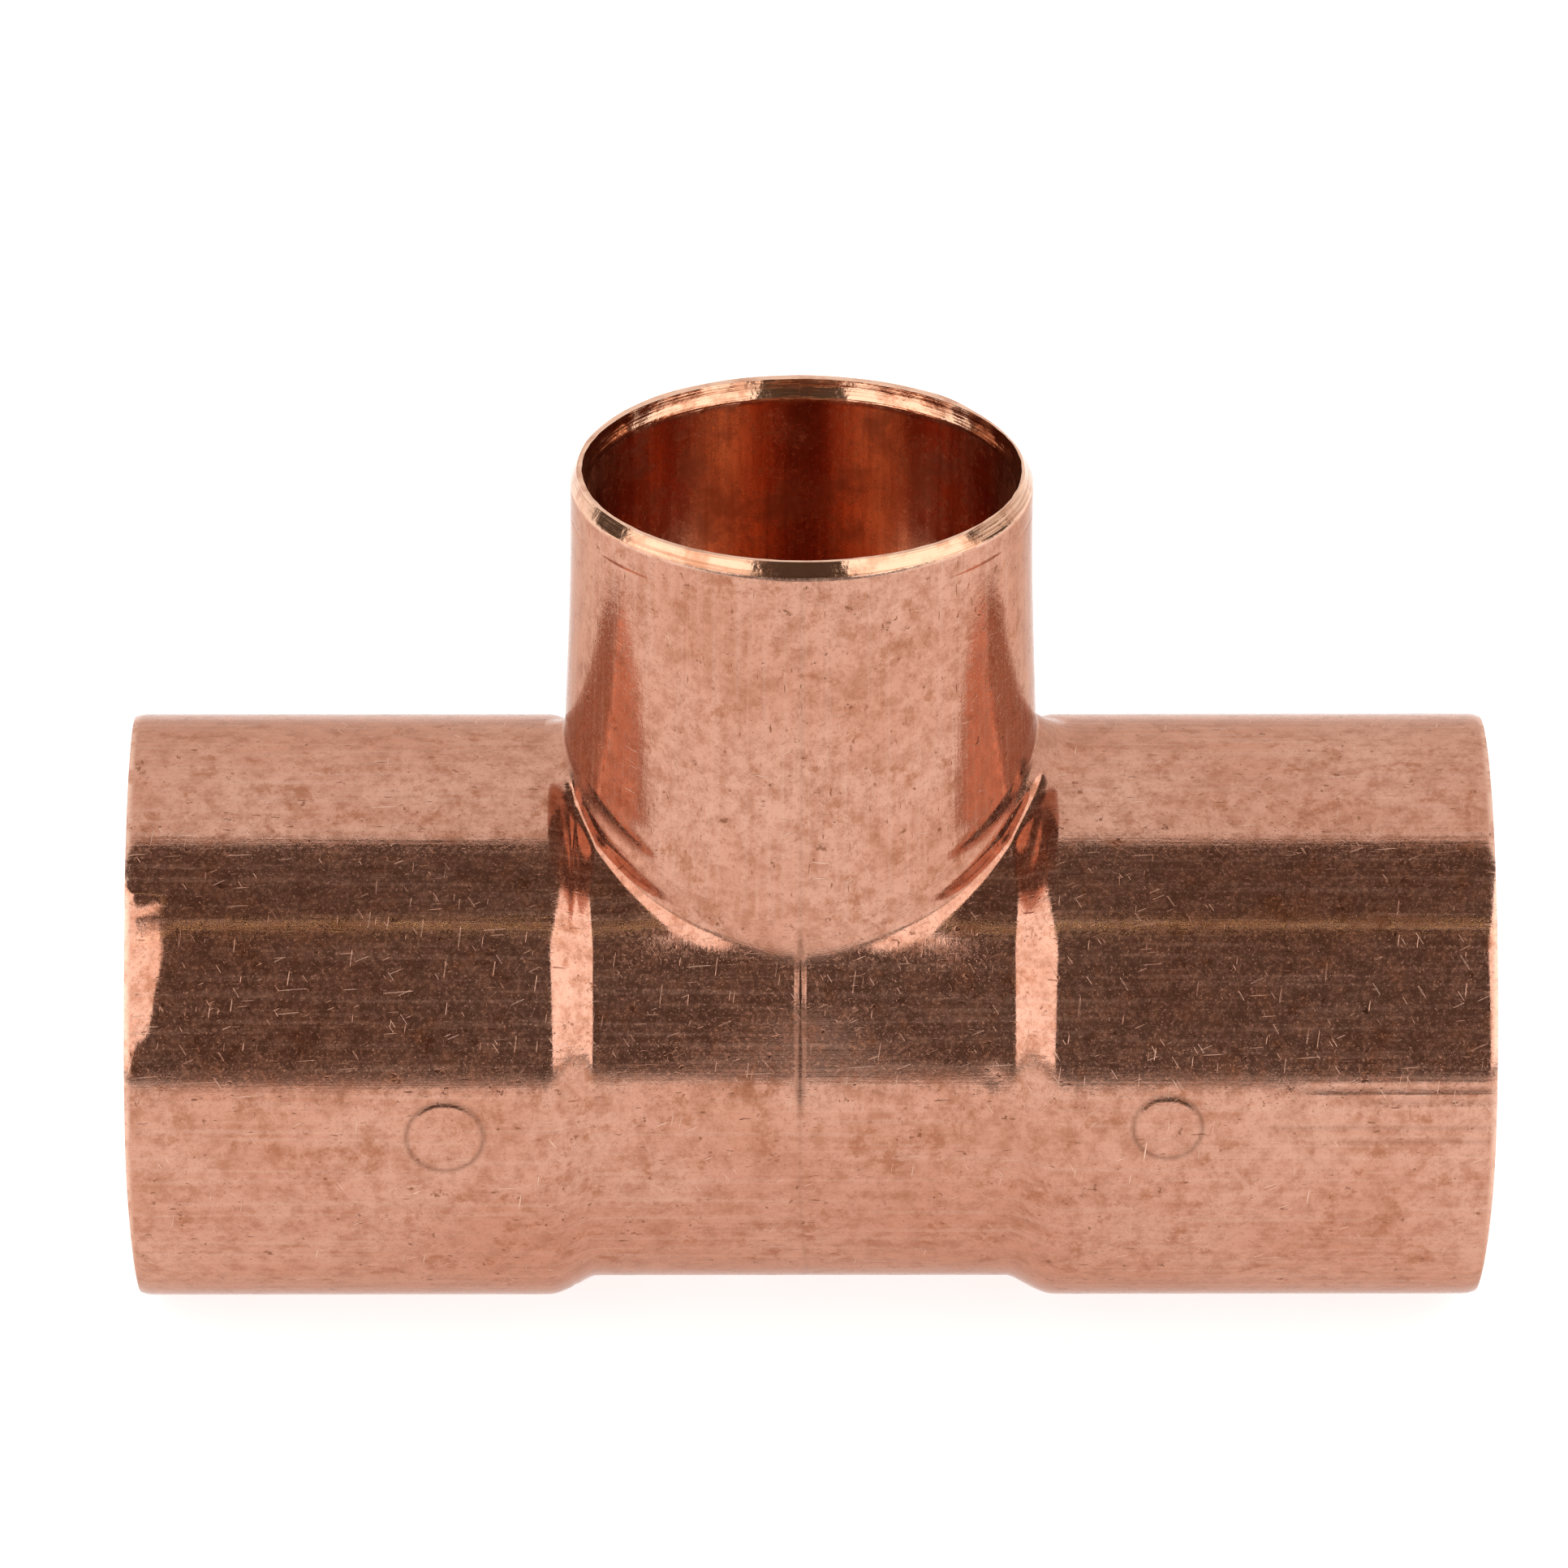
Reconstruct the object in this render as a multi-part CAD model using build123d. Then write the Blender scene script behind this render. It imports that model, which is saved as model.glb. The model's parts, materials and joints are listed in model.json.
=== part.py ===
from build123d import *
import os

# A 28 x 28 x 22 mm copper reducing tee for soldered (end feed) joints.
# Frame: the origin is where the run's axis crosses the branch's axis. The run lies along X, the branch
# points up along +Z. The wall is symmetric about the XZ plane. All sizes are in millimetres.

# Run: a straight tube whose two ends are widened into cups for 28 mm tube.
run_length = 70.8
run_middle_x = 0.45  # the branch stands slightly to the left of the run's middle
cup_outer_radius = 15.3
cup_bore_radius = 14.06
cup_depth = 21.6
centre_outer_radius = 14.3
waterway_radius = 13.0
shoulder_length = 3.4
run_lip_radius = 0.35
run_bevel = 0.25

# Branch: one cup for 22 mm tube, which widens slightly towards the run.
branch_height = 31.0
branch_mouth_radius = 11.94
branch_root_radius = 12.4
branch_root_height = 14.0
branch_bore_radius = 11.06
branch_depth = 15.4
branch_waterway_radius = 10.6
mouth_chamfer_radial = 0.43
mouth_chamfer_axial = 0.7
mouth_bevel_radial = 0.3
mouth_bevel_axial = 1.05

# Blends between the branch and the run.
outside_blend = 0.9
inside_blend = 0.8

half_run = run_length / 2
stop_distance = half_run - cup_depth
stop_z = branch_height - branch_depth
beyond = 5.0


def run_solid(outline):
    """The solid that a closed outline sweeps about the run's axis. Its X is counted from the run's middle."""
    return Pos(run_middle_x, 0, 0) * revolve(Plane.XZ * make_face(outline), Axis.X, 360)


def branch_solid(outline):
    """The solid that a closed outline in the XZ plane sweeps about the branch's axis."""
    return revolve(Plane.XZ * make_face(outline), Axis.Z, 360)


def run_outside():
    """The run filled in: two cups, and a narrower centre that each cup meets in an S-shaped shoulder."""
    shoulder_end = stop_distance - shoulder_length
    along_run = (-1, 0)
    outline = [
        Line((-half_run, 0), (-half_run, cup_outer_radius)),
        Line((-half_run, cup_outer_radius), (-stop_distance, cup_outer_radius)),
        Spline(
            (-stop_distance, cup_outer_radius),
            (-shoulder_end, centre_outer_radius),
            tangents=[(1, 0), (1, 0)],
        ),
        Line((-shoulder_end, centre_outer_radius), (shoulder_end, centre_outer_radius)),
        Spline(
            (stop_distance, cup_outer_radius),
            (shoulder_end, centre_outer_radius),
            tangents=[along_run, along_run],
        ),
        Line((stop_distance, cup_outer_radius), (half_run, cup_outer_radius)),
        Line((half_run, cup_outer_radius), (half_run, 0)),
        Line((half_run, 0), (-half_run, 0)),
    ]
    solid = run_solid(outline)
    circles = solid.edges().filter_by(GeomType.CIRCLE).sort_by(Axis.X)
    return fillet([circles[0], circles[-1]], run_lip_radius)


def branch_outside():
    """The branch filled in, from the run's axis up to its chamfered mouth."""
    growth = (branch_root_radius - branch_mouth_radius) / (branch_height - branch_root_height)
    foot_radius = branch_root_radius + growth * branch_root_height
    chamfer_foot = branch_height - mouth_chamfer_axial
    outline = Polyline(
        (0, 0),
        (foot_radius, 0),
        (branch_mouth_radius + growth * mouth_chamfer_axial, chamfer_foot),
        (branch_mouth_radius - mouth_chamfer_radial, branch_height),
        (0, branch_height),
        close=True,
    )
    return branch_solid(outline)


def run_hollow():
    """The space in the run: a cup at each end, down to its tube stop, and the waterway between the stops."""
    outline = Polyline(
        (-half_run, 0),
        (-half_run, cup_bore_radius + run_bevel),
        (-half_run + run_bevel, cup_bore_radius),
        (-stop_distance, cup_bore_radius),
        (-stop_distance, waterway_radius),
        (stop_distance, waterway_radius),
        (stop_distance, cup_bore_radius),
        (half_run - run_bevel, cup_bore_radius),
        (half_run, cup_bore_radius + run_bevel),
        (half_run, 0),
        close=True,
    )
    return run_solid(outline)


def branch_hollow():
    """The space in the branch: the cup with its bevelled mouth, its tube stop and the waterway below."""
    outline = Polyline(
        (0, 0),
        (branch_waterway_radius, 0),
        (branch_waterway_radius, stop_z),
        (branch_bore_radius, stop_z),
        (branch_bore_radius, branch_height - mouth_bevel_axial),
        (branch_bore_radius + mouth_bevel_radial, branch_height),
        (0, branch_height),
        close=True,
    )
    return branch_solid(outline)


def blended(first, second, radius):
    """Two solids joined, with the edges where their surfaces cross rounded off."""
    joined = first + second
    known = [edge.center() for edge in first.edges() + second.edges()]
    crossing = joined.edges().filter_by(lambda e: all((e.center() - c).length > 0.01 for c in known))
    return fillet(crossing, radius)


def tee_wall():
    """The whole copper wall as one solid."""
    outside = blended(run_outside(), branch_outside(), outside_blend)
    hollow = blended(run_hollow(), branch_hollow(), inside_blend)
    return outside - hollow


def region(wall, low_corner, high_corner):
    """The part of the wall inside a box that is given by two corners."""
    low, high = Vector(*low_corner), Vector(*high_corner)
    size = high - low
    box = Pos(*((low + high) / 2)) * Box(size.X, size.Y, size.Z)
    return wall & box


wall = tee_wall()
left_stop_x = run_middle_x - stop_distance
right_stop_x = run_middle_x + stop_distance
far_x = half_run + beyond
far_y = cup_outer_radius + beyond
far_z = branch_height + beyond
nodes = {
    "left_socket": region(wall, (-far_x, -far_y, -far_y), (left_stop_x, far_y, stop_z)),
    "right_socket": region(wall, (right_stop_x, -far_y, -far_y), (far_x, far_y, stop_z)),
    "centre_body": region(wall, (left_stop_x, -far_y, -far_y), (right_stop_x, far_y, stop_z)),
    "branch_socket": region(wall, (-far_x, -far_y, stop_z), (far_x, far_y, far_z)),
}

os.makedirs("parts", exist_ok=True)
for node, solid in nodes.items():
    export_step(solid, f"parts/{node}.step")
    print(node, "solids", len(solid.solids()), "volume", round(solid.volume, 1))
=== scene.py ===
import bmesh
import bpy
import json
import math
import numpy as np
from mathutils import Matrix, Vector


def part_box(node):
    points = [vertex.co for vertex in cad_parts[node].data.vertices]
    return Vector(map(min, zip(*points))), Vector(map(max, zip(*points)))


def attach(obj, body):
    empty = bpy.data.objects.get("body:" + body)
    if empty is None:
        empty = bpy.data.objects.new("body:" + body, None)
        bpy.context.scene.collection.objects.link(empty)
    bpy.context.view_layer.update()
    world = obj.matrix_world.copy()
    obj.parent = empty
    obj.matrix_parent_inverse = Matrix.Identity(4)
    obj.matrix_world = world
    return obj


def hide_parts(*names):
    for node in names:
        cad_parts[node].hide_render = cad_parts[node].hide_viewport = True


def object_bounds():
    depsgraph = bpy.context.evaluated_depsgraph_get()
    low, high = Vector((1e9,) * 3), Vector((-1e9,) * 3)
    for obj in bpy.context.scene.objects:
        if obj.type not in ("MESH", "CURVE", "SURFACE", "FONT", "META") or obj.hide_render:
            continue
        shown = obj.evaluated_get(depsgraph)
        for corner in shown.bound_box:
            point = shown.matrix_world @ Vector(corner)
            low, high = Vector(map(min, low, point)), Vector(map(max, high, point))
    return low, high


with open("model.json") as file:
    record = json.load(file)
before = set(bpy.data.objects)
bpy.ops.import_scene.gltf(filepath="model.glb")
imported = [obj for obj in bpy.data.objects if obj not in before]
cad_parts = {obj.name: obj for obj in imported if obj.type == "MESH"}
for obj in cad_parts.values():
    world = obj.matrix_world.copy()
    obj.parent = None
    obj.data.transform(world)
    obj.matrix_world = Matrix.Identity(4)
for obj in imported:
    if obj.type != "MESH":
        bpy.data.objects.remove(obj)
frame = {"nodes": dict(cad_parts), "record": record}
cad_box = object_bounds()

# Sizes are in millimetres, read from the CAD nodes and mounts. A mesh is scaled to metres when it is made.
MM = 0.001
corner = {node: [[c / MM for c in end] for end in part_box(node)] for node in frame["nodes"]}
bore = {m["name"]: m["dims"]["r_mm"] for m in frame["record"]["mounts"] if m["kind"] == "bore"}
left_end, left_stop = corner["left_socket"][0][0], corner["left_socket"][1][0]
right_stop, right_end = corner["right_socket"][0][0], corner["right_socket"][1][0]
cup_radius = corner["left_socket"][1][1]
cup_bore = bore["left_socket_bore"]
mouth_z = corner["branch_socket"][1][2]
branch_stop = corner["branch_socket"][0][2]
branch_bore = bore["branch_socket_bore"]

# Shapes that the CAD model leaves plain.
shoulder_height = 1.0
centre_radius = cup_radius - shoulder_height
shoulder_middle_x = 0.1
shoulder_start, shoulder_end = 10.85, 13.35
run_stop_depth, branch_stop_depth = 1.06, 0.46  # how far each tube stop stands into the bore
waterway_radius = cup_bore - run_stop_depth
branch_waterway_radius = branch_bore - branch_stop_depth
branch_mouth_radius = 11.96
branch_flare = 0.43
flare_foot_z = 11.0
branch_joint_z = branch_stop + 1.0  # just above the blend, where the branch is plain again
foot_radius = 12.4  # where the centre's grid turns from the branch to the run
stop_step = 1.4
run_lip_drop, run_lip_length = 0.13, 0.7
run_end_lean = 0.3  # the run's ends are cut a little out of square and recede towards the bottom
chamfer_axial = 0.72
back_chamfer, extra_front_chamfer = 0.13, 0.24  # radial, at the branch's mouth
extra_left_chamfer, extra_right_chamfer = 0.17, 0.33
bevel_axial = 1.05

# The blend at the foot of the branch. Angles are in degrees.
swell_limit, swell_reach = 1.3, 12.0
swell_from, swell_to = 12.0, 60.0  # above the run's axis
flank_fades = (8.0, 32.0)  # from the run's direction, seen from above
front_starts = (46.0, 74.0)
front_spread, left_spread, right_spread = 0.3, 0.8, 1.3
ripple_depth, ripple_rate = 0.07, 4.6

# Marks left by making and handling.
seam_x = 0.3
ledge_x = shoulder_middle_x - (shoulder_start + shoulder_end) / 2 + 0.2
scribed_ring_z = mouth_z - 2.1
left_circle = (-18.45, 90.0, 1.99)  # middle along the run, degrees from straight up, and radius
right_circle = (18.87, 88.0, 1.78)
scores = [(80.0, 25.0), (82.5, 27.5), (88.0, 23.0), (91.0, 26.5)]  # degrees from straight up, and start
circle_depth, score_depth, scribed_depth = 0.05, 0.022, 0.03
flat_slope, flat_length, flat_taper = 0.23, 2.4, 0.035  # the flat that a knock left on the left cup's rim
flat_top, flat_upper_edge, flat_lower_edge = 42.0, (41.5, 44.5), (67.0, 76.0)
dents = [  # middle along the run, degrees from straight up towards the front, depth, half length, half width
    (-14.6, 66.0, 0.12, 0.8, 1.3),
    (-32.2, 63.0, 0.08, 0.5, 0.9),
    (9.9, 79.0, 0.06, 0.5, 0.7),
    (27.0, 128.0, 0.07, 2.4, 1.6),
]


def smooth_step(value, low, high):
    """0 below low, 1 above high, and a smooth rise between them."""
    t = np.clip((value - low) / (high - low), 0.0, 1.0)
    return t * t * (3.0 - 2.0 * t)


def hill(value, width):
    """1 where the value is 0, falling smoothly away on both sides."""
    return np.exp(-((value / width) ** 2))


def graded(low, high, coarse, fine=None, places=(), reach=1.0):
    """Positions from low to high, coarse apart, but fine apart within reach of each place."""
    at = np.linspace(low, high, 4001)
    near = np.zeros_like(at)
    for place in places:
        near = np.maximum(near, np.exp(-(((at - place) / reach) ** 4)))
    density = 1.0 / coarse + (1.0 / (fine or coarse) - 1.0 / coarse) * near
    total = np.concatenate([[0.0], np.cumsum((density[1:] + density[:-1]) / 2 * np.diff(at))])
    count = max(2, int(round(total[-1])))
    return np.interp(np.linspace(0.0, total[-1], count + 1), total, at)


# ------------------------------------------------------------------ the copper's two skins, as signed gaps


def run_radius(x):
    """Outer radius along the run: a plain centre, an S-shaped shoulder each side, and the cups."""
    rise = smooth_step(np.abs(x - shoulder_middle_x), shoulder_start, shoulder_end) ** 0.7
    ledge = 0.035 * hill(x - ledge_x, 0.1)
    return centre_radius + (cup_radius - centre_radius) * rise - ledge


def branch_radius(z):
    """Outer radius up the branch, which flares towards the run."""
    return branch_mouth_radius + branch_flare * smooth_step(mouth_z - z, 3.0, mouth_z - flare_foot_z)


def waterway_in_run(x):
    """Inner radius of the centre, which opens to the cups' bore in a smooth step at each tube stop."""
    inside = np.minimum(x - left_stop, right_stop - x)
    return cup_bore - (cup_bore - waterway_radius) * smooth_step(inside, 0.0, stop_step)


def waterway_in_branch(z):
    """Inner radius below the branch's cup, which narrows in a smooth step at the tube stop."""
    down = smooth_step(branch_joint_z - z, 0.1, 0.1 + stop_step)
    return branch_bore - (branch_bore - branch_waterway_radius) * down


def grooves(x, y, z):
    """Depth of the fine lines in the outer skin: a seam down the front, two blank circles, and scores."""
    from_top = np.degrees(np.arctan2(-y, z))
    front = smooth_step(-y, 0.0, 2.0)
    drift = -0.1 + 0.85 * smooth_step(from_top, 97.0, 175.0)
    pressed = smooth_step(from_top, 49.0, 56.0) * (1.0 - smooth_step(from_top, 80.0, 88.0))
    depth = front * (0.014 + 0.11 * pressed) * hill(x - drift, 0.11 + 0.12 * pressed)
    for middle, turn, radius in (left_circle, right_circle):
        from_middle = np.hypot(x - middle, np.radians(from_top - turn) * cup_radius)
        depth = depth + circle_depth * hill(from_middle - radius, 0.12)
    for turn, start in scores:
        around = np.radians(from_top - turn) * cup_radius
        depth = depth + score_depth * hill(around, 0.13) * smooth_step(x, start, start + 2.0)
    return depth


def knocked_flat(x, from_top):
    """Depth of the flat at the left cup's rim, which is longest at its upper end."""
    length = flat_length - flat_taper * (from_top - flat_top)
    beside = smooth_step(from_top, *flat_upper_edge) * (1.0 - smooth_step(from_top, *flat_lower_edge))
    return flat_slope * np.maximum(length - (x - left_end), 0.0) * beside


def marks(x, y, z):
    """Depth of all the marks in the outer skin: the fine lines, the flat and the dents."""
    from_top = np.degrees(np.arctan2(-y, z))
    depth = grooves(x, y, z) + knocked_flat(x, from_top)
    for middle, turn, deepest, half_length, half_width in dents:
        around = np.radians(from_top - turn) * cup_radius
        depth = depth + deepest * hill(x - middle, half_length) * hill(around, half_width)
    return depth


def soft_minimum(first, second, width):
    """The smaller of two gaps, rounded where they are nearly equal."""
    overlap = np.maximum(width - np.abs(first - second), 0.0) / width
    return np.minimum(first, second) - overlap**2 * width / 4.0


def outer_gap(p):
    """How far points lie outside the copper's outer skin.

    The run swells where the branch was drawn out of it. A narrow band leans from the branch to the run: crisp
    and rippled on the flanks, softer at the front and back.
    """
    x, y, z = p[:, 0], p[:, 1], p[:, 2]
    raised = np.degrees(np.arctan2(z, np.abs(y)))
    height = np.radians(np.clip(raised, swell_from, swell_to) - swell_from)
    swelling = swell_limit * np.tanh(centre_radius * (1.0 / np.cos(height) - 1.0) / swell_limit)
    swelling = swelling * (1.0 - smooth_step(np.abs(x), 0.0, swell_reach))
    to_run = np.hypot(y, z) - run_radius(x) - swelling
    below = np.maximum(4.0 - z, 0.0)
    to_branch = np.hypot(x, y) - branch_radius(z) + below**2 / 8
    from_side = np.degrees(np.arctan2(np.abs(y), np.abs(x)))
    side = 1.0 - smooth_step(from_side, *flank_fades)
    middle = smooth_step(from_side, *front_starts)
    side_spread = np.where(x < 0, left_spread, right_spread)
    spread = front_spread + (side_spread - front_spread) * side - 0.22 * middle
    lean = 0.15 + 0.85 * side
    ripple = ripple_depth * (1.0 - side) * (1.0 - middle) * np.sin(to_run * ripple_rate)
    band = (to_branch + lean * to_run - spread + ripple) / np.hypot(1.0, lean)
    gap = soft_minimum(to_branch, band, 0.25)
    gap = soft_minimum(gap, to_run, 0.25 + 0.25 * middle + 0.5 * side)
    return gap + marks(x, y, z)


def inner_gap(p):
    """How far points lie from the waterway into the metal."""
    x, y, z = p[:, 0], p[:, 1], p[:, 2]
    to_run = np.hypot(y, z) - waterway_in_run(x)
    below = np.maximum(4.0 - z, 0.0)
    to_branch = np.hypot(x, y) - waterway_in_branch(z) + below**2 / 2
    return soft_minimum(to_run, to_branch, 1.2)


def settle(points, gap, rounds=6):
    """Moves points along the gap's slope until they lie where it is zero."""
    p = points.reshape(-1, 3).copy()
    step = 1e-4
    for _ in range(rounds):
        here = gap(p)
        slope = np.stack([(gap(p + step * axis) - here) / step for axis in np.eye(3)], axis=1)
        p -= (here / np.maximum((slope**2).sum(axis=1), 1e-6))[:, None] * slope
    return p.reshape(points.shape)


# ------------------------------------------------------------------ grids of points


def on_run(x, angle, radius):
    """Points at an angle from straight up, turning towards the front, about the run's axis."""
    return np.stack(np.broadcast_arrays(x, -radius * np.sin(angle), radius * np.cos(angle)), axis=-1)


def on_branch(angle, z, radius):
    """Points at an angle from +X, turning towards the back, about the branch's axis."""
    return np.stack(np.broadcast_arrays(radius * np.cos(angle), radius * np.sin(angle), z), axis=-1)


def between(first, last, count):
    """Rows of points that lead from one ring to another."""
    part = np.linspace(0.0, 1.0, count)[:, None, None]
    return first + part * (last - first)


right_angle = math.pi / 2
turn_coarse, turn_fine, turn_reach = math.radians(1.3), math.radians(0.5), math.radians(10)
upper_angles = graded(-right_angle, right_angle, turn_coarse, turn_fine, [right_angle], turn_reach)
lower_angles = graded(right_angle, 3 * right_angle, turn_coarse, turn_fine, [right_angle], turn_reach)
run_angles = np.concatenate([upper_angles, lower_angles[1:-1]])
centre_xs = graded(left_stop, right_stop, 0.3, 0.09, [ledge_x, seam_x], 0.9)


def perimeter():
    """(x, angle) round the edge of the centre's upper half: up the right side, along the back, and so on."""
    right = [(right_stop, a) for a in upper_angles[::-1][:-1]]
    back = [(x, -right_angle) for x in centre_xs[::-1][:-1]]
    left = [(left_stop, a) for a in upper_angles[:-1]]
    front = [(x, right_angle) for x in centre_xs[:-1]]
    return np.array(right + back + left + front)


edge = perimeter()
edge_across = (edge[:, 0] - (right_stop + left_stop) / 2) / (right_stop - left_stop) * 2
branch_angles = np.arctan2(-edge[:, 1] / right_angle, edge_across)


def saddle(radius_in_run, radius_in_branch, root_radius, finest, gap):
    """A skin round the foot of the branch: down the branch, then out over the run to the perimeter."""
    root_x = root_radius * np.cos(branch_angles)
    root_y = root_radius * np.sin(branch_angles)
    root_turn = np.arcsin(-root_y / radius_in_run(root_x))
    root_z = radius_in_run(root_x) * np.cos(root_turn)
    down = graded(0.0, 1.0, 3 * finest, finest, [1.0], 0.5)[:, None]
    z = branch_joint_z + (root_z - branch_joint_z) * down
    top_radius = float(radius_in_branch(np.array(branch_joint_z)))
    wall = on_branch(branch_angles, z, top_radius + (root_radius - top_radius) * down)
    out = graded(0.0, 1.0, 2 * finest, finest, [0.0], 0.4)[1:, None]
    x = root_x + (edge[:, 0] - root_x) * out
    floor = on_run(x, root_turn + (edge[:, 1] - root_turn) * out, radius_in_run(x))
    return settle(np.concatenate([wall, floor]), gap)


# ------------------------------------------------------------------ pieces

skin, cut, inside = 0, 1, 2  # the material slots of each piece


def weld(mesh):
    """Joins the edges of a mesh's sheets and turns all its faces outwards."""
    bm = bmesh.new()
    bm.from_mesh(mesh)
    bmesh.ops.remove_doubles(bm, verts=bm.verts, dist=2e-6)
    bmesh.ops.recalc_face_normals(bm, faces=bm.faces)
    bm.to_mesh(mesh)
    bm.free()


def make_piece(node, sheets):
    """The piece that stands for a CAD node, from sheets of points: (points, joins up at its ends, slot)."""
    verts, faces, slots = [], [], []
    for points, ring, slot in sheets:
        rows, columns = points.shape[:2]
        start = len(verts)
        verts.extend((points.reshape(-1, 3) * MM).tolist())
        for row in range(start, start + (rows - 1) * columns, columns):
            for c in range(columns if ring else columns - 1):
                d = (c + 1) % columns
                faces.append((row + c, row + d, row + columns + d, row + columns + c))
                slots.append(slot)
    mesh = bpy.data.meshes.new(node + "_copper")
    mesh.from_pydata(verts, [], faces)
    mesh.polygons.foreach_set("material_index", slots)
    weld(mesh)
    places = np.empty(3 * len(mesh.vertices))
    mesh.vertices.foreach_get("co", places)
    dirt = np.clip(grooves(*(places.reshape(-1, 3) / MM).T) / circle_depth, 0.0, 1.0)
    mesh.attributes.new("dirt", "FLOAT", "POINT").data.foreach_set("value", dirt)
    mesh.polygons.foreach_set("use_smooth", [True] * len(mesh.polygons))
    mesh.set_sharp_from_angle(angle=math.radians(50))
    piece = bpy.data.objects.new(mesh.name, mesh)
    bpy.context.scene.collection.objects.link(piece)
    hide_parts(node)
    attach(piece, "root")
    return piece


def wobble(angle, turns, amount):
    """The small unevenness of a cut and deburred edge, along a full turn."""
    waves = [np.sin(n * angle + 1.7 * n) for n in turns]
    return amount * sum(waves) / len(waves)


def socket(node, stop, end, circle):
    """One cup of the run: its outside, rounded lip, bevelled bore, and the face at its stop."""
    out = math.copysign(1.0, end - stop)
    depth = abs(end - stop)
    from_stop = np.concatenate([
        graded(0.0, depth - run_lip_length, 0.35, 0.12, [abs(circle[0] - stop)], 2.8)[:-1],
        np.linspace(depth - run_lip_length, depth, 12),
    ])
    rounding = run_lip_drop * np.clip(1.0 - (depth - from_stop) / run_lip_length, 0.0, 1.0) ** 2.2
    lean = run_end_lean * smooth_step(-np.cos(run_angles), 0.0, 1.0)
    end_x = end - out * lean
    x = stop + (from_stop / depth)[:, None] * (end_x - stop)
    plain = on_run(x, run_angles, run_radius(x))
    radius = run_radius(x) - rounding[:, None] - marks(plain[..., 0], plain[..., 1], plain[..., 2])
    outside = on_run(x, run_angles, radius)
    burr = wobble(run_angles, (5, 13, 29, 47), 0.05)
    mouth = on_run(end_x, run_angles, cup_bore + 0.24 + burr)
    bore_start = on_run(end_x - out * 0.35, run_angles, cup_bore)
    bore_foot = on_run(stop, run_angles, cup_bore)
    return make_piece(node, [
        (outside, True, skin),
        (between(outside[-1], mouth, 6), True, cut),
        (between(mouth, bore_start, 4), True, cut),
        (between(bore_start, bore_foot, 50), True, inside),
        (between(bore_foot, outside[0], 4), True, inside),
    ])


def branch():
    """The branch's cup: its outside, chamfered and bevelled mouth, bore, and the face at its foot."""
    chamfer_foot = mouth_z - chamfer_axial
    heights = graded(branch_joint_z, chamfer_foot, 0.3, 0.08, [scribed_ring_z], 0.7)[:, None]
    plain = on_branch(branch_angles, heights, branch_radius(heights))
    slant = 0.15 * np.cos(branch_angles)
    scribed = scribed_depth * hill(heights - scribed_ring_z - slant, 0.09) * np.abs(np.cos(branch_angles))
    depth = marks(plain[..., 0], plain[..., 1], plain[..., 2]) + scribed
    outside = on_branch(branch_angles, heights, branch_radius(heights) - depth)
    towards_front = np.maximum(-np.sin(branch_angles), 0.0)
    towards_side = smooth_step(np.abs(np.cos(branch_angles)), 0.6, 0.88)
    extra_side = np.where(np.cos(branch_angles) < 0, extra_left_chamfer, extra_right_chamfer) * towards_side
    extra_front = extra_front_chamfer * towards_front**1.5
    chamfer = back_chamfer + extra_front + extra_side + wobble(branch_angles, (3, 7, 19), 0.04)
    crest_outer = on_branch(branch_angles, mouth_z, branch_mouth_radius - chamfer)
    burr = wobble(branch_angles, (4, 11, 26, 43, 61), 0.07)
    crest_inner = on_branch(branch_angles, mouth_z, branch_bore + 0.3 + burr / 2)
    bevel_middle = on_branch(branch_angles, mouth_z - 0.45, branch_bore + 0.2)
    bore_start = on_branch(branch_angles, mouth_z - bevel_axial + burr, branch_bore)
    bore_foot = on_branch(branch_angles, branch_joint_z, branch_bore)
    return make_piece("branch_socket", [
        (outside, True, skin),
        (between(outside[-1], crest_outer, 6), True, cut),
        (between(crest_outer, crest_inner, 3), True, cut),
        (between(crest_inner, bevel_middle, 4), True, cut),
        (between(bevel_middle, bore_start, 4), True, cut),
        (between(bore_start, bore_foot, 50), True, inside),
        (between(bore_foot, outside[0], 4), True, inside),
    ])


def centre():
    """The centre: the saddle under the branch, the lower half, the waterway, and the faces at its joints."""
    x, turn = centre_xs[:, None], lower_angles[None, :]
    outer_top = saddle(run_radius, branch_radius, foot_radius, 0.022, outer_gap)
    outer_low = settle(on_run(x, turn, run_radius(x)), outer_gap)
    inner_top = saddle(waterway_in_run, waterway_in_branch, branch_waterway_radius, 0.05, inner_gap)
    inner_low = on_run(x, turn, waterway_in_run(x))
    faces = []
    for stop in (left_stop, right_stop):
        rim = settle(on_run(stop, run_angles, float(run_radius(np.array(stop)))), outer_gap)
        faces.append((between(rim, on_run(stop, run_angles, cup_bore), 4), True, inside))
    return make_piece("centre_body", [
        (outer_top, True, skin),
        (outer_low, False, skin),
        (inner_top, True, inside),
        (inner_low, False, inside),
        (between(outer_top[0], inner_top[0], 4), True, inside),
        *faces,
    ])


pieces = [
    centre(),
    socket("left_socket", left_stop, left_end, left_circle),
    socket("right_socket", right_stop, right_end, right_circle),
    branch(),
]

# ------------------------------------------------------------------ materials


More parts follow.
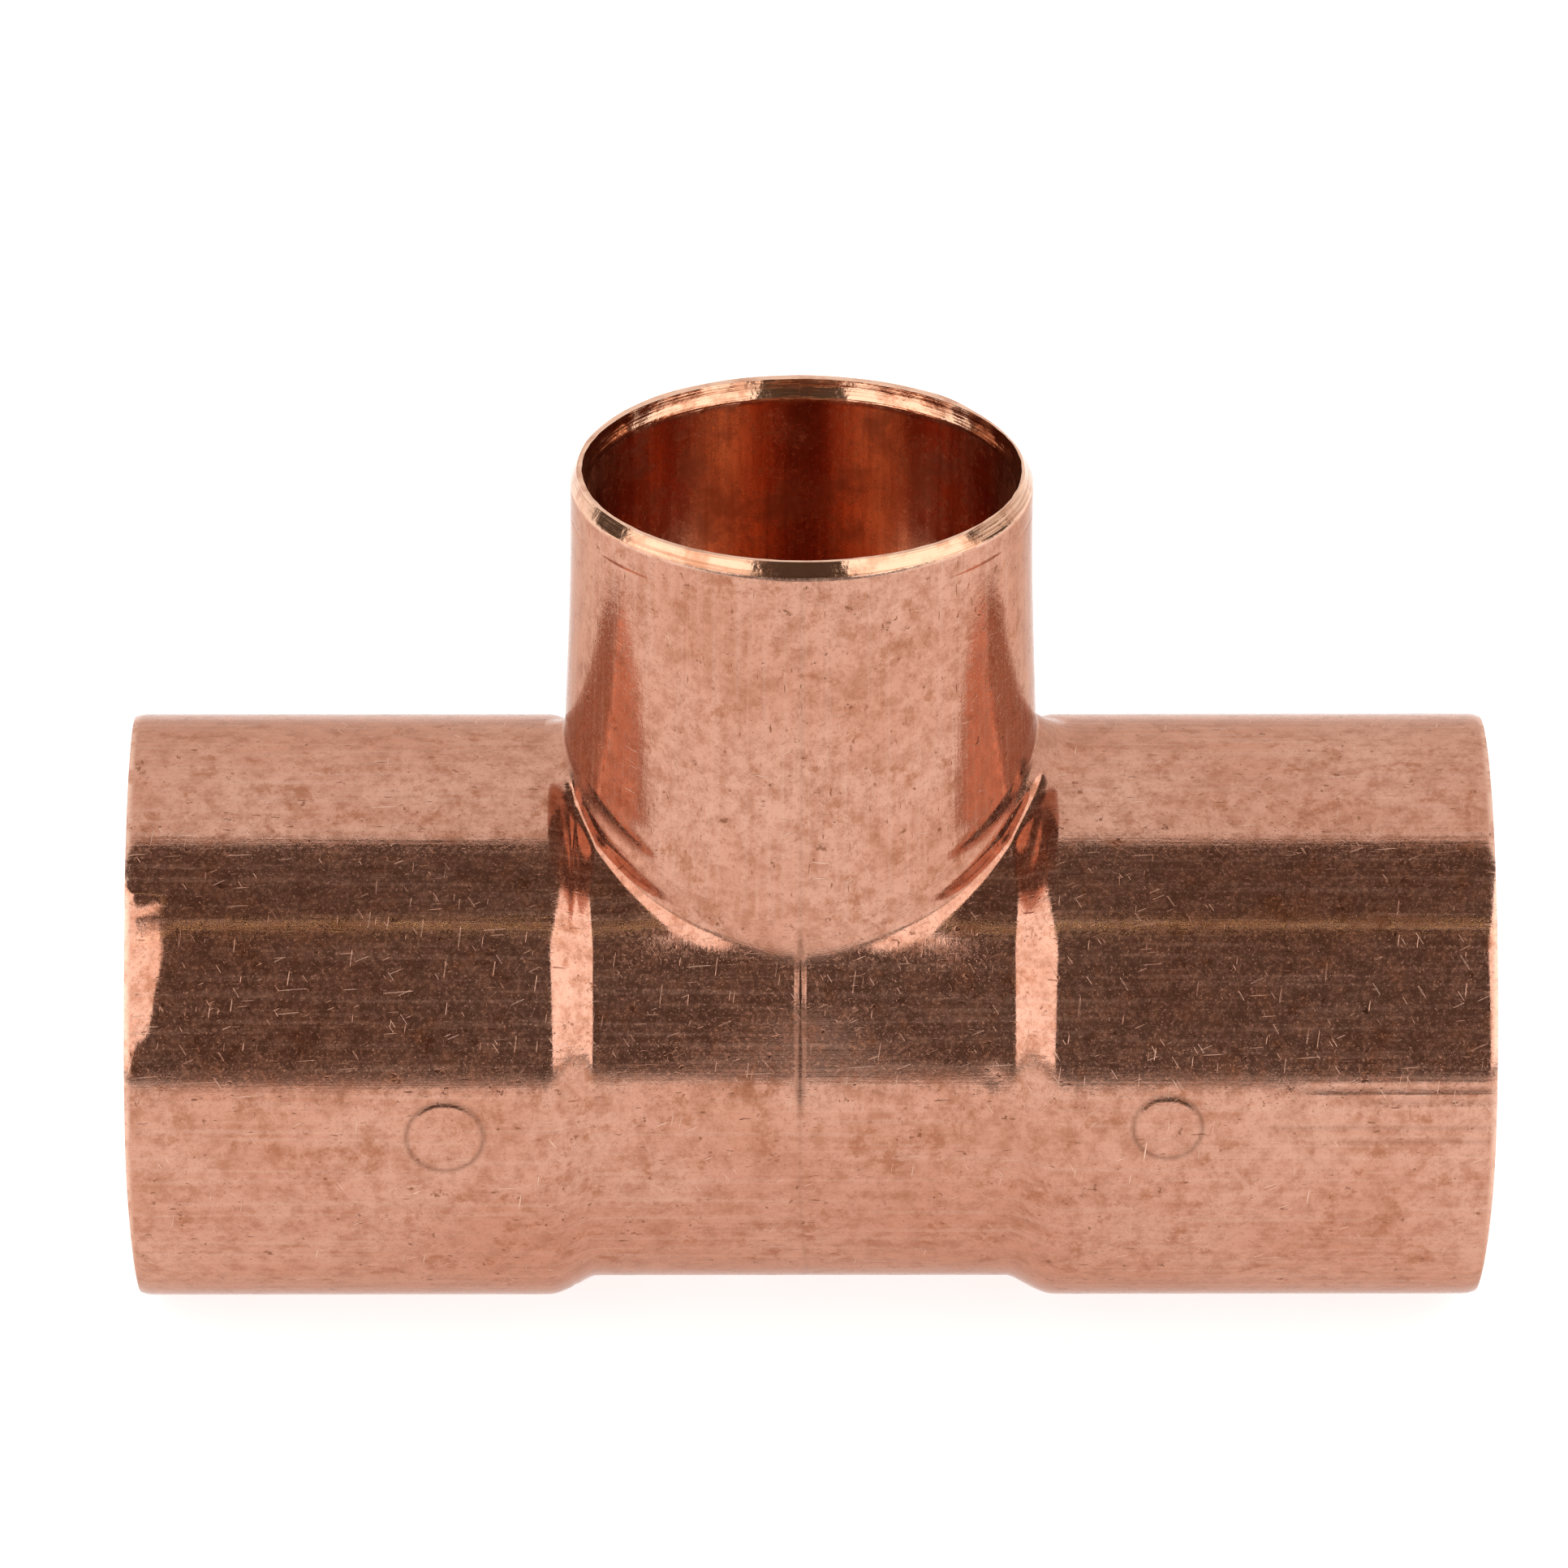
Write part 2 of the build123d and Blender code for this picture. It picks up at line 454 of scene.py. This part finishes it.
class Paint:
    """A material's node tree. Any input may be a number, a vector or another node's output."""

    def __init__(self, name):
        self.material = bpy.data.materials.new(name)
        self.material.use_nodes = True
        self.tree = self.material.node_tree
        self.shader = self.tree.nodes["Principled BSDF"]

    def feed(self, socket, value):
        if isinstance(value, bpy.types.NodeSocket):
            self.tree.links.new(value, socket)
        else:
            socket.default_value = value

    def node(self, kind, inputs, output=0, **settings):
        node = self.tree.nodes.new("ShaderNode" + kind)
        for name, value in settings.items():
            setattr(node, name, value)
        for name, value in inputs.items():
            self.feed(node.inputs[name], value)
        return node.outputs[output]

    def maths(self, operation, first, second):
        return self.node("Math", {0: first, 1: second}, operation=operation)

    def sum_of(self, first, *others):
        for other in others:
            first = self.maths("ADD", first, other)
        return first

    def stretched(self, place, amounts):
        return self.node("VectorMath", {0: place, 1: amounts}, operation="MULTIPLY")

    def turned(self, place, degrees, amounts):
        """A place turned in its own plane and then stretched."""
        turn = (0.0, 0.0, math.radians(degrees))
        turned = self.node("VectorRotate", {"Vector": place, "Rotation": turn}, rotation_type="EULER_XYZ")
        return self.stretched(turned, amounts)

    def noise(self, place, scale, detail=2.0, roughness=0.55):
        inputs = {"Vector": place, "Scale": scale, "Detail": detail, "Roughness": roughness}
        return self.node("TexNoise", inputs)

    def ramp(self, value, low, high, first=0.0, last=1.0):
        """first where the value is low, last where it is high, and a smooth rise between them."""
        inputs = {"Value": value, "From Min": low, "From Max": high, "To Min": first, "To Max": last}
        return self.node("MapRange", inputs, interpolation_type="SMOOTHSTEP")

    def mixed(self, factor, first, second, kind="RGBA"):
        return self.node("Mix", {"Factor": factor, "A": first, "B": second}, "Result", data_type=kind)

    def finish(self, colour, roughness, height, metallic=1.0, edge_tint=(1, 1, 1, 1)):
        """Feeds the shader. The height is in millimetres, and the tint is of reflections seen edge-on."""
        bump = self.node("Bump", {"Height": height, "Distance": MM, "Strength": 1.0})
        self.feed(self.shader.inputs["Base Color"], colour)
        self.feed(self.shader.inputs["Roughness"], roughness)
        self.feed(self.shader.inputs["Metallic"], metallic)
        self.feed(self.shader.inputs["Specular Tint"], edge_tint)
        self.feed(self.shader.inputs["Normal"], bump)
        return self.material


class CopperPlace:
    """Places on the copper in millimetres: in space, and unrolled with the tube's own axis first."""

    def __init__(self, paint):
        metres = paint.node("TexCoord", {}, "Object")
        self.solid = paint.stretched(metres, (1 / MM, 1 / MM, 1 / MM))
        split = paint.tree.nodes.new("ShaderNodeSeparateXYZ")
        paint.feed(split.inputs[0], self.solid)
        x, y, z = split.outputs
        forward = paint.maths("MULTIPLY", y, -1.0)
        from_run_axis = paint.node("VectorMath", {0: paint.stretched(self.solid, (0, 1, 1))}, "Value",
                                   operation="LENGTH")
        from_branch_axis = paint.node("VectorMath", {0: paint.stretched(self.solid, (1, 1, 0))}, "Value",
                                      operation="LENGTH")
        round_run = paint.maths("MULTIPLY", paint.maths("ARCTAN2", forward, z), cup_radius)
        round_branch = paint.maths("MULTIPLY", paint.maths("ARCTAN2", x, forward), branch_mouth_radius)
        self.on_branch = paint.ramp(from_run_axis, cup_radius + 0.1, cup_radius + 1.2)
        run = paint.node("CombineXYZ", {0: x, 1: round_run, 2: from_run_axis})
        branch = paint.node("CombineXYZ", {0: z, 1: round_branch, 2: from_branch_axis})
        self.unrolled = paint.mixed(self.on_branch, run, branch, kind="VECTOR")
        self.near_ends = paint.sum_of(
            paint.ramp(x, left_end + 0.4, left_end + 0.05),
            paint.ramp(x, right_end - 0.4, right_end - 0.05),
            paint.ramp(z, mouth_z - chamfer_axial - 0.25, mouth_z - chamfer_axial),
        )


def scratches(paint, place, degrees, spacing, length, rarity):
    """1 along fine, straight scratches at an angle to the tube's axis."""
    lines = paint.noise(paint.turned(place.unrolled, degrees, (1 / length, 1 / spacing, 0.0)), 1.0, 0.0)
    return paint.ramp(lines, rarity, rarity + 0.05)


def copper_skin():
    """Drawn and handled copper: mottled pink and brown, with stains, specks, drawn lines and scratches."""
    paint = Paint("copper_skin")
    place = CopperPlace(paint)
    clouds = paint.noise(place.solid, 0.11, 4.0, 0.6)
    mottle = paint.noise(place.solid, 0.9, 5.0, 0.72)
    grain = paint.noise(place.solid, 4.2, 3.0, 0.75)
    sparkle = paint.ramp(paint.noise(place.solid, 8.0, 1.0), 0.60, 0.72)
    drawn = paint.noise(paint.stretched(place.unrolled, (0.06, 2.6, 0.0)), 1.0, 3.0, 0.6)
    turned = paint.noise(paint.stretched(place.unrolled, (3.4, 0.07, 0.0)), 1.0, 2.0, 0.6)
    stains = paint.ramp(paint.noise(place.solid, 0.6, 5.0, 0.75), 0.53, 0.68)
    specks = paint.sum_of(
        paint.ramp(paint.noise(place.solid, 1.5, 3.0, 0.65), 0.645, 0.72),
        paint.ramp(paint.noise(paint.stretched(place.unrolled, (0.9, 4.5, 0.0)), 1.0, 2.0), 0.68, 0.74),
    )
    specks = paint.maths("MINIMUM", specks, 1.0)
    nicks = paint.sum_of(
        scratches(paint, place, 24.0, 0.10, 1.3, 0.80),
        scratches(paint, place, -58.0, 0.10, 1.2, 0.80),
        scratches(paint, place, 83.0, 0.11, 1.8, 0.80),
        scratches(paint, place, 4.0, 0.10, 2.6, 0.80),
    )
    handled = paint.ramp(paint.noise(place.solid, 0.21, 1.0), 0.40, 0.60, 0.15, 1.0)
    nicks = paint.maths("MULTIPLY", nicks, handled)
    haze = paint.sum_of(
        paint.ramp(mottle, 0.34, 0.66, 0.0, 0.40),
        paint.ramp(grain, 0.44, 0.66, 0.0, 0.35),
        paint.ramp(drawn, 0.45, 0.70, 0.0, 0.20),
        paint.maths("MULTIPLY", sparkle, 0.35),
    )
    dirt = paint.node("Attribute", {}, "Fac", attribute_name="dirt")

    colour = paint.mixed(paint.ramp(clouds, 0.3, 0.7), (0.54, 0.252, 0.168, 1), (0.61, 0.325, 0.232, 1))
    colour = paint.mixed(paint.ramp(mottle, 0.38, 0.70, 0.0, 0.85), colour, (0.39, 0.155, 0.088, 1))
    colour = paint.mixed(paint.ramp(drawn, 0.45, 0.72, 0.0, 0.35), colour, (0.66, 0.38, 0.28, 1))
    colour = paint.mixed(paint.ramp(grain, 0.52, 0.70, 0.0, 0.5), colour, (0.36, 0.145, 0.085, 1))
    colour = paint.mixed(paint.maths("MULTIPLY", stains, 0.7), colour, (0.34, 0.12, 0.057, 1))
    colour = paint.mixed(paint.maths("MULTIPLY", specks, 0.75), colour, (0.19, 0.065, 0.03, 1))
    colour = paint.mixed(paint.maths("MULTIPLY", dirt, 0.55), colour, (0.14, 0.06, 0.035, 1))
    worn = paint.maths("MULTIPLY", place.near_ends, paint.ramp(mottle, 0.35, 0.55))
    colour = paint.mixed(paint.maths("MAXIMUM", worn, nicks), colour, (0.78, 0.48, 0.36, 1))

    roughness = paint.sum_of(
        paint.ramp(mottle, 0.35, 0.75, 0.07, 0.13),
        paint.ramp(grain, 0.46, 0.68, 0.0, 0.12),
        paint.maths("MULTIPLY", sparkle, 0.20),
        paint.maths("MULTIPLY", stains, 0.08),
        paint.maths("MULTIPLY", nicks, 0.15),
    )
    height = paint.sum_of(
        paint.maths("MULTIPLY", mottle, 0.008),
        paint.maths("MULTIPLY", grain, 0.0035),
        paint.maths("MULTIPLY", drawn, 0.005),
        paint.maths("MULTIPLY", turned, 0.0025),
        paint.maths("MULTIPLY", specks, -0.006),
        paint.maths("MULTIPLY", nicks, -0.016),
    )
    metallic = paint.ramp(haze, 0.0, 1.1, 0.97, 0.60)
    return paint.finish(colour, roughness, height, metallic, (0.75, 0.62, 0.56, 1))


def copper_cut():
    """Bright copper where the ends were cut: fine turned lines and a few dull patches."""
    paint = Paint("copper_cut")
    place = CopperPlace(paint)
    lines = paint.noise(paint.stretched(place.unrolled, (9.0, 0.12, 9.0)), 1.0, 2.0, 0.6)
    dull = paint.ramp(paint.noise(place.solid, 0.7, 4.0, 0.65), 0.45, 0.7)
    colour = paint.mixed(dull, (0.76, 0.45, 0.30, 1), (0.56, 0.27, 0.16, 1))
    colour = paint.mixed(paint.ramp(lines, 0.48, 0.66, 0.0, 0.6), colour, (0.36, 0.15, 0.075, 1))
    roughness = paint.sum_of(paint.ramp(lines, 0.3, 0.7, 0.08, 0.16), paint.maths("MULTIPLY", dull, 0.08))
    height = paint.sum_of(
        paint.maths("MULTIPLY", lines, 0.012),
        paint.maths("MULTIPLY", paint.noise(place.solid, 1.3, 3.0), 0.03),
    )
    return paint.finish(colour, roughness, height)


def copper_inside():
    """The bore: darker, redder copper with streaks along the tube and patches of brown."""
    paint = Paint("copper_inside")
    place = CopperPlace(paint)
    streaks = paint.noise(paint.stretched(place.unrolled, (0.05, 0.8, 0.0)), 1.0, 4.0, 0.6)
    patches = paint.noise(place.solid, 0.35, 5.0, 0.7)
    grain = paint.noise(place.solid, 3.0, 3.0, 0.7)
    colour = paint.mixed(paint.ramp(streaks, 0.35, 0.65), (0.56, 0.21, 0.105, 1), (0.80, 0.38, 0.21, 1))
    colour = paint.mixed(paint.ramp(patches, 0.48, 0.68, 0.0, 0.6), colour, (0.36, 0.12, 0.055, 1))
    roughness = paint.sum_of(
        paint.ramp(patches, 0.35, 0.7, 0.18, 0.34),
        paint.ramp(grain, 0.5, 0.75, 0.0, 0.15),
    )
    height = paint.sum_of(
        paint.maths("MULTIPLY", streaks, 0.012),
        paint.maths("MULTIPLY", patches, 0.02),
        paint.maths("MULTIPLY", grain, 0.004),
    )
    return paint.finish(colour, roughness, height)


slots = [copper_skin(), copper_cut(), copper_inside()]
for piece in pieces:
    for material in slots:
        piece.data.materials.append(material)

# ------------------------------------------------------------------ studio

table_glow, cloth_glow, side_glow, slit_glow = 0.80, 1.08, 1.8, 2.8
slit_elevation = math.radians(57.7)
surround = (0.098, 0.072, 0.055, 1)

def light_box(name, place, facing, width, height, strength, colour=(1, 1, 1)):
    """A soft light box: a rectangle area light at a place, turned towards a point."""
    light = bpy.data.lights.new(name, "AREA")
    light.shape = "RECTANGLE"
    light.size, light.size_y = width, height
    light.energy = strength * width * height * math.pi
    light.color = colour
    obj = bpy.data.objects.new(name, light)
    obj.location = place
    obj.rotation_euler = (Vector(facing) - Vector(place)).to_track_quat("-Z", "Y").to_euler()
    bpy.context.scene.collection.objects.link(obj)


def staged_sheet(name, outline, half_width, material):
    """A sheet that sweeps an outline of (y, z) points from side to side, as part of the studio."""
    verts = [(side * half_width, y, z) for y, z in outline for side in (-1, 1)]
    faces = [(2 * i, 2 * i + 1, 2 * i + 3, 2 * i + 2) for i in range(len(outline) - 1)]
    mesh = bpy.data.meshes.new(name)
    mesh.from_pydata(verts, [], faces)
    mesh.materials.append(material)
    obj = bpy.data.objects.new(name, mesh)
    bpy.context.scene.collection.objects.link(obj)


def table_material():
    """A white table that is lit as far as a line in front of the object, and grey nearer the camera."""
    paint = Paint("table")
    place = paint.tree.nodes.new("ShaderNodeSeparateXYZ")
    paint.feed(place.inputs[0], paint.node("TexCoord", {}, "Object"))
    lit = paint.ramp(place.outputs["Y"], -0.195, -0.180)
    shader = paint.shader.inputs
    paint.feed(shader["Base Color"], paint.mixed(lit, (0.3, 0.3, 0.3, 1), (0.5, 0.5, 0.5, 1)))
    paint.feed(shader["Emission Color"], (1, 1, 1, 1))
    paint.feed(shader["Emission Strength"], paint.maths("MULTIPLY", lit, table_glow))
    paint.feed(shader["Roughness"], 0.9)
    return paint.material


def glowing(strength):
    """Cloth of a large light box."""
    paint = Paint("light_cloth")
    paint.feed(paint.shader.inputs["Base Color"], (0, 0, 0, 1))
    paint.feed(paint.shader.inputs["Emission Color"], (1, 1, 1, 1))
    paint.feed(paint.shader.inputs["Emission Strength"], strength)
    return paint.material


def studio():
    """A white table, a light cloth overhead and behind, a box at each side, and a slit above the camera."""
    floor_z = cad_box[0].z
    staged_sheet("table", [(-2, floor_z), (2, floor_z)], 2, table_material())
    height, back, curve = 0.93, 1.35, 0.45
    arc = [math.radians(a) for a in range(0, 91, 15)]
    bend = [(back - curve + curve * math.sin(a), height - curve + curve * math.cos(a)) for a in arc]
    staged_sheet("light_cloth", [(0.065, height), *bend, (back, 0.0)], 2.6, glowing(cloth_glow))
    for side in (-1, 1):
        azimuth = math.radians(60)
        place = Vector((side * math.sin(azimuth), -math.cos(azimuth), 0)) * 0.95
        place.z = 0.62
        light_box("side_box", place, (0, 0, 0.62), 1.4, 1.25, side_glow)
    slit = Vector((0, -math.cos(slit_elevation), math.sin(slit_elevation))) * 0.9
    light_box("slit", slit, (0, 0, 0), 1.6, 0.008, slit_glow, (1, 0.95, 0.55))
    world = bpy.data.worlds.new("studio")
    world.use_nodes = True
    world.node_tree.nodes["Background"].inputs["Color"].default_value = surround
    bpy.context.scene.world = world


def camera():
    """The camera, at the angle and distance of a long lens over a table."""
    azimuth, elevation = math.radians(-0.7), math.radians(26.9)
    distance, focal = 0.6365, 277.0
    across = Vector((math.cos(azimuth), math.sin(azimuth), 0))
    away = Vector((math.sin(azimuth), -math.cos(azimuth), 0))
    back = away * math.cos(elevation) + Vector((0, 0, math.sin(elevation)))
    up = Vector((0, 0, math.cos(elevation))) - away * math.sin(elevation)
    data = bpy.data.cameras.new("camera")
    data.lens, data.sensor_width = focal, 36.0
    data.clip_start, data.clip_end = 0.01, 20.0
    obj = bpy.data.objects.new("camera", data)
    obj.location = back * distance
    target = up * 0.01159 - across * 0.00086
    obj.rotation_euler = (target - obj.location).to_track_quat("-Z", "Y").to_euler()
    obj.rotation_euler.rotate_axis("Z", math.radians(0.24))
    bpy.context.scene.collection.objects.link(obj)
    bpy.context.scene.camera = obj


studio()
camera()
bpy.context.scene.view_settings.view_transform = "Standard"
